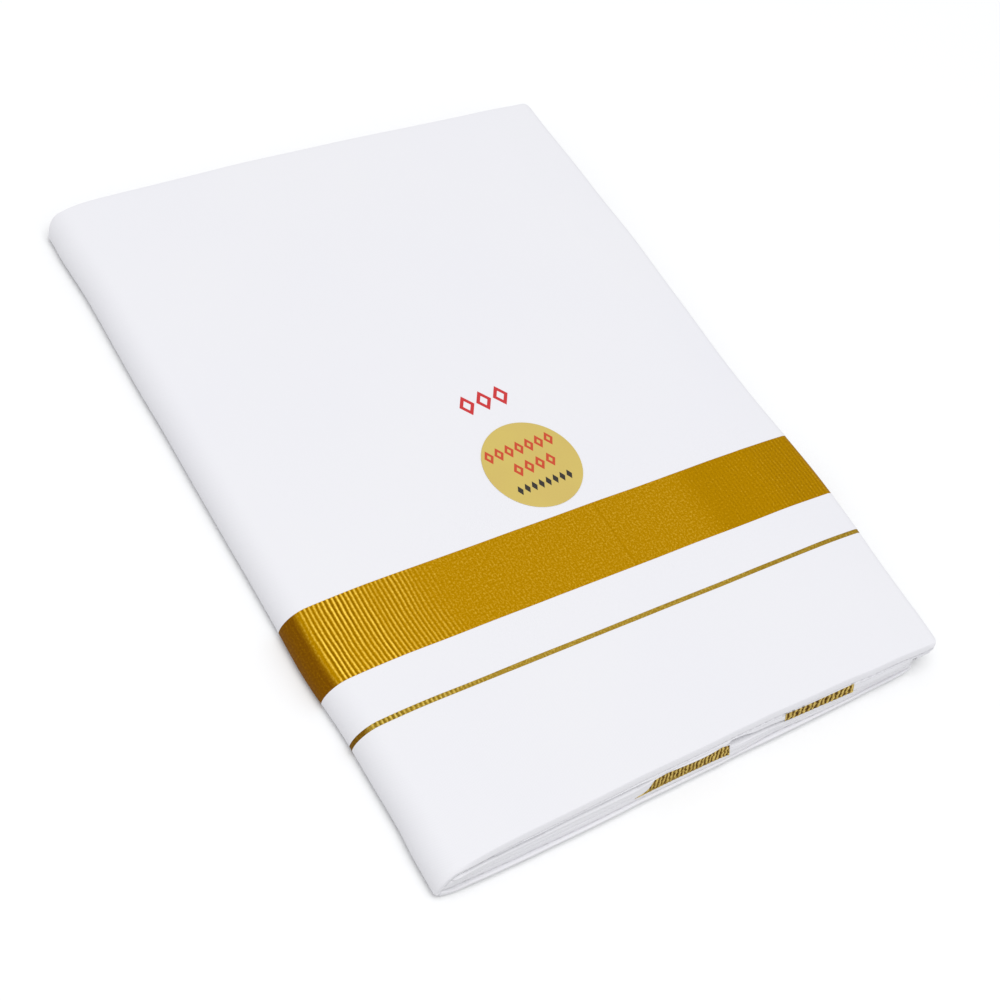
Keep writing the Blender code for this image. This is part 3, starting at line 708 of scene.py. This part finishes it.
def makeInnerFolds(material):
    bm, uvLayer, wayLayer = newShell("way")
    rings = []
    for k, row in stackRows():
        ring = stackRing(k, row)
        verts = []
        way = 0.0
        for m, place in enumerate(ring):
            if m:
                way += (place.xy - ring[m - 1].xy).length
            vert = bm.verts.new(place * mm)
            vert[wayLayer] = way * mm
            verts.append(vert)
        rings.append(verts)
    gridFaces(bm, rings, closed=True)
    bm.faces.new(list(reversed(rings[0])))
    bm.faces.new(rings[-1])
    for face in bm.faces:
        for loop in face.loops:
            co = loop.vert.co
            if abs(face.normal.z) > 0.9 and len(face.verts) > 4:
                loop[uvLayer].uv = (co.x, co.y)
            else:
                loop[uvLayer].uv = (loop.vert[wayLayer], co.z * 1.6)
    return finished("innerFolds", bm, material)


def makeCrossBand(name, node, material):
    band = crossBands[node]
    leftEnd, rightEnd = curveThrough(band["left"], 1), curveThrough(band["right"], 1)
    over = node == "cross_band_right"
    middle = sum(goldHeights(band, (leftEnd(9.0) + rightEnd(9.0)) / 2)) / 2
    columns = round((rightEnd(middle) - leftEnd(middle)) / crossBands["columnStep"])
    bm, uvLayer, wayLayer, ribLayer = newShell("way", "rib")
    outer, inner = [], []
    for row in range(crossBands["rows"] + 1):
        outerRow, innerRow = [], []
        for k in range(columns + 1):
            share = k / columns
            x = mix(leftEnd(middle), rightEnd(middle), share)
            z = mix(*goldHeights(band, x), row / crossBands["rows"])
            x = mix(leftEnd(z), rightEnd(z), share)
            z = mix(*goldHeights(band, x), row / crossBands["rows"])
            y = innerEdge(x, z, over)
            phase = x / band["pitch"] + 0.45 * noiseAt(x / 2.6, z / 1.1, 3.0)
            uneven = 1 + 0.4 * noiseAt(x / 1.7, z / 0.9, 6.0)
            rib = crossBands["tick"] * math.sin(2 * math.pi * phase) * uneven
            for places, off in ((outerRow, crossBands["skin"] + rib), (innerRow, crossBands["underside"])):
                vert = bm.verts.new(Vector((x, y - off, z)) * mm)
                vert[wayLayer] = x * mm
                vert[ribLayer] = rib
                places.append(vert)
        outer.append(outerRow)
        inner.append(innerRow)
    shellFaces(bm, outer, inner, uvLayer, wayLayer, 2)
    return finished(name, bm, material)


label = {"radius": 21.5, "thick": 0.22, "vertices": 160, "edge": 0.05, "off": 0.02, "rim": 0.35, "rings": 9,
         "ringStep": 2.05}
labelCentre = [(low + high) / 2 for low, high in zip(*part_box("round_label"))][:2]


def makeLabel(material):
    bpy.ops.object.select_all(action="DESELECT")
    bpy.ops.mesh.primitive_cylinder_add(vertices=label["vertices"], radius=label["radius"] * mm,
                                        depth=label["thick"] * mm, location=(*labelCentre, 0.0))
    disc = bpy.context.object
    disc.name = disc.data.name = "roundLabel"
    bpy.ops.object.transform_apply(location=True, rotation=True, scale=True)
    bpy.ops.object.mode_set(mode="EDIT")
    bpy.ops.mesh.select_mode(type="FACE")
    bpy.ops.mesh.select_all(action="DESELECT")
    bpy.ops.object.mode_set(mode="OBJECT")
    for face in disc.data.polygons:
        face.select = abs(face.normal.z) > 0.9
    bpy.ops.object.mode_set(mode="EDIT")
    # rings of faces, so that the disc can follow the cloth under it
    for step in [label["rim"]] + [label["ringStep"]] * label["rings"]:
        bpy.ops.mesh.inset(thickness=step * mm, use_boundary=True)
    bpy.ops.object.mode_set(mode="OBJECT")
    bevel = disc.modifiers.new("edge", "BEVEL")
    bevel.width = label["edge"] * mm
    bevel.segments = 2
    bevel.limit_method = "ANGLE"
    bpy.ops.object.modifier_apply(modifier="edge")
    rise = packet["height"] + label["thick"] / 2 + label["off"]
    onTop = 4.5
    for vert in disc.data.vertices:
        x, y = vert.co.x / mm, vert.co.y / mm
        vert.co.z += (rise - pressedIn(onTop, wayAt(onTop), x, y)) * mm
    disc.data.materials.append(material)
    disc.data.shade_smooth()
    disc.data.set_sharp_from_angle(angle=math.radians(40))
    return disc


ribs = {
    "pitch": 1.9,
    "step": 0.38,
    # how they wander and how their strength varies: how much, how long across and along, seed
    "wander": [(0.22, 9, 16, 1.0), (0.08, 3, 4, 2.0)],
    "strength": (0.85, 0.5, 4.5, 22, 4.0),
    # the way along the wrap counted from the spine's crest, then how high the ribs stand there
    "height": [(-150, 0.0), (-30, 0.0), (-15, 0.0), (-9, 0.015), (0, 0.01), (8, 0.02), (12, 0.05),
               (14.5, 0.17), (17, 0.21), (24, 0.19), (31, 0.18), (39, 0.145), (49, 0.12), (59, 0.07),
               (69, 0.02), (80, 0.012), (190, 0.012), (225, 0.03), (245, 0.04), (262, 0.03), (290, 0.02)],
    # a faint crease half way over, with painted highlight and shade along it through the rib value, and
    # darker gold beyond the right fold's start
    "dip": [(-150, 0.0), (143.6, 0.0), (144.6, 0.0), (145.6, -0.014), (146.8, 0.022), (148, 0.0), (149, 0.0),
            (182, 0.0), (188, 0.008), (196, 0.028), (224, 0.028), (236, 0.038), (290, 0.038)],
}
ribHeight = curveThrough(ribs["height"], 1)
ribDip = curveThrough(ribs["dip"], 1)
crestWay = wayAt(7.0)


def zariRib(way, y):
    fromCrest = crestWay - way
    phase = way / ribs["pitch"]
    for much, across, along, seed in ribs["wander"]:
        phase += much * noiseAt(way / across, y / along, seed)
    least, much, across, along, seed = ribs["strength"]
    strength = least + much * noiseAt(way / across, y / along, seed)
    return ribHeight(fromCrest) * strength * math.sin(2 * math.pi * phase) - ribDip(fromCrest)


# A group that turns a place and some plain numbers into one mask, height or value.
def newGroup(name, numbers, result):
    group = bpy.data.node_groups.new(name, "ShaderNodeTree")
    group.interface.new_socket(name="Place", in_out="INPUT", socket_type="NodeSocketVector")
    for title in numbers:
        group.interface.new_socket(name=title, in_out="INPUT", socket_type="NodeSocketFloat")
    group.interface.new_socket(name=result, in_out="OUTPUT", socket_type="NodeSocketFloat")
    return group, group.nodes.new("NodeGroupInput"), group.nodes.new("NodeGroupOutput")


def addNode(tree, kind, values=(), links=(), group=None):
    node = tree.nodes.new("ShaderNode" + kind)
    if group:
        node.node_tree = group
    for socket, value in dict(values).items():
        node.inputs[socket].default_value = value
    for socket, source in dict(links).items():
        tree.links.new(source, node.inputs[socket])
    return node


def mathNode(tree, operation, a, b=None, c=None, clamp=False):
    node = addNode(tree, "Math")
    node.operation = operation
    node.use_clamp = clamp
    for socket, value in zip(node.inputs, (a, b, c)):
        if value is None:
            continue
        if isinstance(value, (int, float)):
            socket.default_value = value
        else:
            tree.links.new(value, socket)
    return node.outputs[0]


def plainWeaveGroup():
    group, start, end = newGroup("plainWeave", ["Threads per metre"], "Height")
    split = addNode(group, "SeparateXYZ", links={0: start.outputs["Place"]})
    waves = []
    for axis in ("X", "Y"):
        turns = mathNode(group, "MULTIPLY", split.outputs[axis], start.outputs["Threads per metre"])
        turns = mathNode(group, "MULTIPLY", turns, math.pi)
        waves.append(mathNode(group, "SINE", turns))
    over = mathNode(group, "MULTIPLY", waves[0], waves[1])
    group.links.new(mathNode(group, "MULTIPLY_ADD", over, 0.5, 0.5), end.inputs["Height"])
    return group


def speckleGroup():
    group, start, end = newGroup("threadSpeckle", ["Scale", "Stretch"], "Speckle")
    scale = addNode(group, "CombineXYZ", {"X": 1.0, "Z": 1.0}, {"Y": start.outputs["Stretch"]})
    product = addNode(group, "VectorMath", links={0: start.outputs["Place"], 1: scale.outputs[0]})
    product.operation = "MULTIPLY"
    grain = addNode(group, "TexNoise", {"Detail": 2.0},
                    {"Vector": product.outputs[0], "Scale": start.outputs["Scale"]})
    group.links.new(grain.outputs["Fac"], end.inputs["Speckle"])
    return group


lozengeNumbers = ["Centre X", "Centre Y", "Pitch", "Count", "Half Width", "Half Height", "Hole"]


def lozengeRowGroup():
    group, start, end = newGroup("lozengeRow", lozengeNumbers, "Mask")
    value = start.outputs
    split = addNode(group, "SeparateXYZ", links={0: value["Place"]})
    x = mathNode(group, "SUBTRACT", split.outputs["X"], value["Centre X"])
    y = mathNode(group, "SUBTRACT", split.outputs["Y"], value["Centre Y"])
    halfCount = mathNode(group, "MULTIPLY", value["Count"], 0.5)
    steps = mathNode(group, "ADD", mathNode(group, "DIVIDE", x, value["Pitch"]), halfCount)
    local = mathNode(group, "SUBTRACT", mathNode(group, "FRACT", steps), 0.5)
    offCentre = mathNode(group, "ABSOLUTE", mathNode(group, "MULTIPLY", local, value["Pitch"]))
    across = mathNode(group, "DIVIDE", offCentre, value["Half Width"])
    along = mathNode(group, "DIVIDE", mathNode(group, "ABSOLUTE", y), value["Half Height"])
    reach = mathNode(group, "ADD", across, along)
    filled = mathNode(group, "LESS_THAN", reach, 1.0)
    notHole = mathNode(group, "GREATER_THAN", reach, value["Hole"])
    inside = mathNode(group, "MULTIPLY", mathNode(group, "GREATER_THAN", steps, 0.0),
                      mathNode(group, "LESS_THAN", steps, value["Count"]))
    mask = mathNode(group, "MULTIPLY", mathNode(group, "MULTIPLY", filled, notHole), inside)
    group.links.new(mask, end.inputs["Mask"])
    return group


groups = {"weave": plainWeaveGroup(), "speckle": speckleGroup(), "lozenges": lozengeRowGroup()}


def placeGroup(tree, name, place, values):
    return addNode(tree, "Group", values, {"Place": place}, groups[name]).outputs[0]


def newMaterial(name, roughness, **plain):
    material = bpy.data.materials.new(name)
    material.use_nodes = True
    shader = material.node_tree.nodes["Principled BSDF"]
    shader.inputs["Roughness"].default_value = roughness
    for socket, value in plain.items():
        shader.inputs[socket.replace("_", " ")].default_value = value
    return material, material.node_tree, shader


def mixColours(tree, factor, first, second):
    node = addNode(tree, "Mix")
    node.data_type = "RGBA"
    tree.links.new(factor, node.inputs["Factor"])
    for socket, value in zip((node.inputs[6], node.inputs[7]), (first, second)):
        if isinstance(value, tuple):
            socket.default_value = (*value, 1.0)
        else:
            tree.links.new(value, socket)
    return node.outputs[2]


def bumpFrom(tree, shader, height, strength, distance):
    bump = addNode(tree, "Bump", {"Strength": strength, "Distance": distance}, {"Height": height})
    tree.links.new(bump.outputs["Normal"], shader.inputs["Normal"])


def weavePlace(tree):
    node = addNode(tree, "UVMap")
    node.uv_map = "weave"
    return node.outputs["UV"]


def attributeOf(tree, name):
    node = addNode(tree, "Attribute")
    node.attribute_name = name
    return node.outputs["Fac"]


cotton = {"shade": (0.653, 0.6486, 0.664), "lilac": (0.6362, 0.6327, 0.664), "threadsPerMetre": 2600.0,
          "roughness": 0.88, "sheen": 0.12, "sheenRoughness": 0.5, "mottleScale": 14.0, "bump": 0.35,
          "weaveDepth": 0.00005}
stamp = {"ink": (0.46, 0.016, 0.018),
         "row": {"Centre X": 0.0021, "Centre Y": 0.0119, "Pitch": 0.0083, "Count": 3.0, "Half Width": 0.0037,
                 "Half Height": 0.0053, "Hole": 0.5}}


def cottonMaterial(name, stamped=False):
    material, tree, shader = newMaterial(name, cotton["roughness"], Sheen_Weight=cotton["sheen"],
                                         Sheen_Roughness=cotton["sheenRoughness"])
    place = addNode(tree, "TexCoord").outputs["Object"]
    mottle = addNode(tree, "TexNoise", {"Scale": cotton["mottleScale"]}, {"Vector": place})
    colour = mixColours(tree, mottle.outputs["Fac"], cotton["shade"], cotton["lilac"])
    if stamped:
        mask = placeGroup(tree, "lozenges", place, stamp["row"])
        colour = mixColours(tree, mask, colour, stamp["ink"])
    tree.links.new(colour, shader.inputs["Base Color"])
    weave = placeGroup(tree, "weave", weavePlace(tree), {"Threads per metre": cotton["threadsPerMetre"]})
    bumpFrom(tree, shader, weave, cotton["bump"], cotton["weaveDepth"])
    return material


# The darkest and brightest colours of each gold below are painted shade in the ribs' hollows and painted
# highlight on their crests, mixed with the threads' own uneven tone; the side colours are painted shade where
# the band turns down off the top.
zari = {"darkThreadAndShade": (0.17, 0.074, 0.0), "gold": (0.394, 0.1985, 0.0), "brightThreadAndHighlight": (0.90, 0.615, 0.085),
        "side": (0.176, 0.066, 0.00132), "sideShadeDark": (0.0968, 0.03168, 0.000528), "roughness": 0.5,
        "metallic": 0.35, "ribShade": 2.4, "grain": 0.55}
# the narrow line is woven looser, so white shows between its threads; its side colours are painted shade, as
# in the band's
lineZari = {"darkThreadAndShade": (0.15, 0.095, 0.004), "gold": (0.318, 0.199, 0.022), "brightThreadAndHighlight": (0.62, 0.47, 0.11),
            "side": (0.16, 0.075, 0.004), "sideShadeDark": (0.09, 0.04, 0.002), "roughness": 0.5, "metallic": 0.3,
            "ribShade": 2.4, "grain": 1.1}
# the cross band shows on its folds, paler and greener
paleZari = {"darkThreadAndShade": (0.05, 0.018, 0.0005), "gold": (0.281, 0.176, 0.033), "brightThreadAndHighlight": (0.62, 0.47, 0.14),
            "roughness": 0.5, "metallic": 0.25, "ribShade": 5.5, "grain": 1.3}
threads = {"perMetre": 2000.0, "speckle": {"Scale": 1400.0, "Stretch": 0.8}, "bump": 0.4,
           "bumpHeight": 0.00006, "facingTop": (0.70, 0.90)}


def zariRamp(tree, level, darkThreadAndShade, middle, brightThreadAndHighlight):
    ramp = addNode(tree, "ValToRGB", links={"Fac": level})
    ramp.color_ramp.elements[0].color = (*darkThreadAndShade, 1.0)
    ramp.color_ramp.elements[1].color = (*brightThreadAndHighlight, 1.0)
    ramp.color_ramp.elements.new(0.5).color = (*middle, 1.0)
    return ramp.outputs["Color"]


def zariMaterial(name, look):
    material, tree, shader = newMaterial(name, look["roughness"], Metallic=look["metallic"],
                                         Specular_IOR_Level=0.0)
    place = weavePlace(tree)
    speckle = placeGroup(tree, "speckle", place, threads["speckle"])
    grain = mathNode(tree, "MULTIPLY", mathNode(tree, "SUBTRACT", speckle, 0.5), look["grain"])
    # painted highlight and shade: the rib value lightens the gold on the ribs' crests and darkens it in their
    # hollows; the speckle adds the threads' own uneven tone
    level = mathNode(tree, "MULTIPLY_ADD", attributeOf(tree, "rib"), look["ribShade"], 0.5)
    level = mathNode(tree, "ADD", level, grain, clamp=True)
    colour = zariRamp(tree, level, look["darkThreadAndShade"], look["gold"], look["brightThreadAndHighlight"])
    if "side" in look:
        # painted shade: the gold is painted darker and browner where the band turns down off the top, by how
        # far its surface faces up
        low, high = threads["facingTop"]
        onTop = addNode(tree, "MapRange", {"From Min": low, "From Max": high},
                        {"Value": attributeOf(tree, "facing")})
        onTop.interpolation_type = "SMOOTHSTEP"
        paintedSideShade = zariRamp(tree, level, look["sideShadeDark"], look["side"], look["gold"])
        colour = mixColours(tree, onTop.outputs["Result"], paintedSideShade, colour)
    tree.links.new(colour, shader.inputs["Base Color"])
    weave = placeGroup(tree, "weave", place, {"Threads per metre": threads["perMetre"]})
    bumpFrom(tree, shader, mathNode(tree, "ADD", weave, speckle), threads["bump"], threads["bumpHeight"])
    return material


foil = {"light": (0.556, 0.436, 0.101), "warm": (0.524, 0.384, 0.101), "red": (0.50, 0.052, 0.012),
        "black": (0.02, 0.015, 0.01), "roughness": 0.38, "metallic": 0.25, "sheenScale": 60.0,
        "grainScale": 900.0, "bump": 0.1, "bumpHeight": 0.00003,
        # ink, the row's middle from the label's, pitch, count, half width, half height, hole
        "rows": [("red", -0.001, 0.0091, 0.0049, 7.0, 0.0022, 0.0035, 0.4),
                 ("red", 0.0008, -0.0006, 0.0053, 4.0, 0.0023, 0.0036, 0.4),
                 ("black", 0.0001, -0.0099, 0.00345, 8.0, 0.0013, 0.0024, 0.0)]}


def foilMaterial(name):
    material, tree, shader = newMaterial(name, foil["roughness"], Metallic=foil["metallic"])
    place = addNode(tree, "TexCoord").outputs["Object"]
    sheen = addNode(tree, "TexNoise", {"Scale": foil["sheenScale"], "Detail": 1.0}, {"Vector": place})
    colour = mixColours(tree, sheen.outputs["Fac"], foil["light"], foil["warm"])
    x, y = labelCentre
    for ink, offX, offY, *sizes in foil["rows"]:
        row = dict(zip(lozengeNumbers, (x + offX, y + offY, *sizes)))
        mask = placeGroup(tree, "lozenges", place, row)
        colour = mixColours(tree, mask, colour, foil[ink])
    tree.links.new(colour, shader.inputs["Base Color"])
    grain = addNode(tree, "TexNoise", {"Scale": foil["grainScale"]}, {"Vector": place})
    bumpFrom(tree, shader, grain.outputs["Fac"], foil["bump"], foil["bumpHeight"])
    return material


cottonCloth = cottonMaterial("cottonCloth")
stampedCloth = cottonMaterial("stampedCloth", stamped=True)
zariGold = zariMaterial("zariGold", zari)
lineGold = zariMaterial("lineGold", lineZari)
paleGold = zariMaterial("paleGold", paleZari)
labelFoil = foilMaterial("labelFoil")

# where one weave meets the next: the gap between them and how the line wanders
seam = {"gap": 0.02, "wander": 0.18, "length": 30}
rowSteps = {"cloth": 2.2, "band": 1.7, "line": 0.5}


# where a gold weave starts and ends along the packet: half way into the gap on each side
def weaveEnds(node):
    low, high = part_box(node)
    return low[1] / mm - packet["gap"] / 2, high[1] / mm + packet["gap"] / 2


def wovenEdge(y, seed, side):
    return lambda x: y + seam["wander"] * noiseAt(x / seam["length"], seed) + side * seam["gap"] / 2


bandNear, bandFar = weaveEnds("zari_band")
lineNear, lineFar = weaveEnds("zari_line")
columns = clothColumns()
fineColumns = ribColumns(ribs["step"])
clothField = wrapStretch("clothField", columns, wovenEdge(bandFar, 1.0, 1), None, rowSteps["cloth"],
                         stampedCloth)
print("cloth field")
zariBand = wrapStretch("zariBand", fineColumns, wovenEdge(bandNear, 2.0, 1), wovenEdge(bandFar, 1.0, -1),
                       rowSteps["band"], zariGold, zariRib)
print("gold band")
clothGap = wrapStretch("clothGap", columns, wovenEdge(lineFar, 3.0, 1), wovenEdge(bandNear, 2.0, -1),
                       rowSteps["cloth"], cottonCloth)
zariLine = wrapStretch("zariLine", fineColumns, wovenEdge(lineNear, 4.0, 1), wovenEdge(lineFar, 3.0, -1),
                       rowSteps["line"], lineGold, zariRib)
clothMargin = wrapStretch("clothMargin", columns, None, wovenEdge(lineNear, 4.0, -1), rowSteps["cloth"],
                          cottonCloth)
print("the rest of the wrap")
innerFolds = makeInnerFolds(cottonCloth)
print("the folds inside")
bandLeft = makeCrossBand("crossBandLeft", "cross_band_left", paleGold)
bandRight = makeCrossBand("crossBandRight", "cross_band_right", paleGold)
roundLabel = makeLabel(labelFoil)
print("gold stretches and label")

for piece, node, slot in ((clothField, "cloth_field", "cotton"), (zariBand, "zari_band", "zari"),
                          (clothGap, "cloth_gap", "cotton"), (zariLine, "zari_line", "zari"),
                          (clothMargin, "cloth_margin", "cotton"), (innerFolds, "inner_folds", "cotton"),
                          (bandLeft, "cross_band_left", "zari"), (bandRight, "cross_band_right", "zari"),
                          (roundLabel, "round_label", "label")):
    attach(piece, "root")
    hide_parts(node)

studio = {
    "sky": (0.97, 0.98, 1.0),
    "skyStrength": 0.833,
    "floorShade": (0.77, 0.77, 0.77),
    "floorRoughness": 0.9,
    "floorSpecular": 0.1,
    "floorHalf": 3.0,
    "softBoxPlace": (-0.4, -0.5, 3.1),
    "softBoxAim": (0.0, 0.0, 0.0),
    "softBoxSize": 3,
    "softBoxPower": 65.5,
}

world = bpy.data.worlds.new("studio")
bpy.context.scene.world = world
world.use_nodes = True
sky = world.node_tree.nodes["Background"].inputs
sky["Color"].default_value = (*studio["sky"], 1.0)
sky["Strength"].default_value = studio["skyStrength"]

bpy.ops.object.select_all(action="DESELECT")
bpy.ops.mesh.primitive_plane_add(size=2 * studio["floorHalf"])
floor = bpy.context.object
floor.name = floor.data.name = "floor"
floorPaint, _, floorShader = newMaterial("floorPaint", studio["floorRoughness"],
                                         Specular_IOR_Level=studio["floorSpecular"])
floorShader.inputs["Base Color"].default_value = (*studio["floorShade"], 1.0)
floor.data.materials.append(floorPaint)

softBox = bpy.data.lights.new("softBox", "AREA")
softBox.shape = "DISK"
softBox.size = studio["softBoxSize"]
softBox.energy = studio["softBoxPower"]
softBoxLamp = linked(bpy.data.objects.new("softBox", softBox))
softBoxLamp.location = studio["softBoxPlace"]
aim = Vector(studio["softBoxAim"]) - Vector(studio["softBoxPlace"])
softBoxLamp.rotation_euler = aim.to_track_quat("-Z", "Y").to_euler()

view = {
    "place": (-0.38912, -0.34924, 0.59933),
    "right": (0.8241, -0.5083, 0.2500),
    "up": (0.2866, 0.7548, 0.5900),
    "focal": 1906.0,  # in pixels
    "frame": 1000,  # pixels across
    "sensor": 36.0,
}

cameraData = bpy.data.cameras.new("camera")
cameraData.sensor_width = view["sensor"]
cameraData.lens = view["focal"] / view["frame"] * view["sensor"]
cameraData.clip_start = 0.01
camera = linked(bpy.data.objects.new("camera", cameraData))
right = Vector(view["right"]).normalized()
back = right.cross(Vector(view["up"])).normalized()
up = back.cross(right)
turn = Matrix((right, up, back)).transposed()
camera.matrix_world = Matrix.Translation(view["place"]) @ turn.to_4x4()
bpy.context.scene.camera = camera
bpy.context.scene.view_settings.view_transform = "Standard"
print("floor, light and camera")
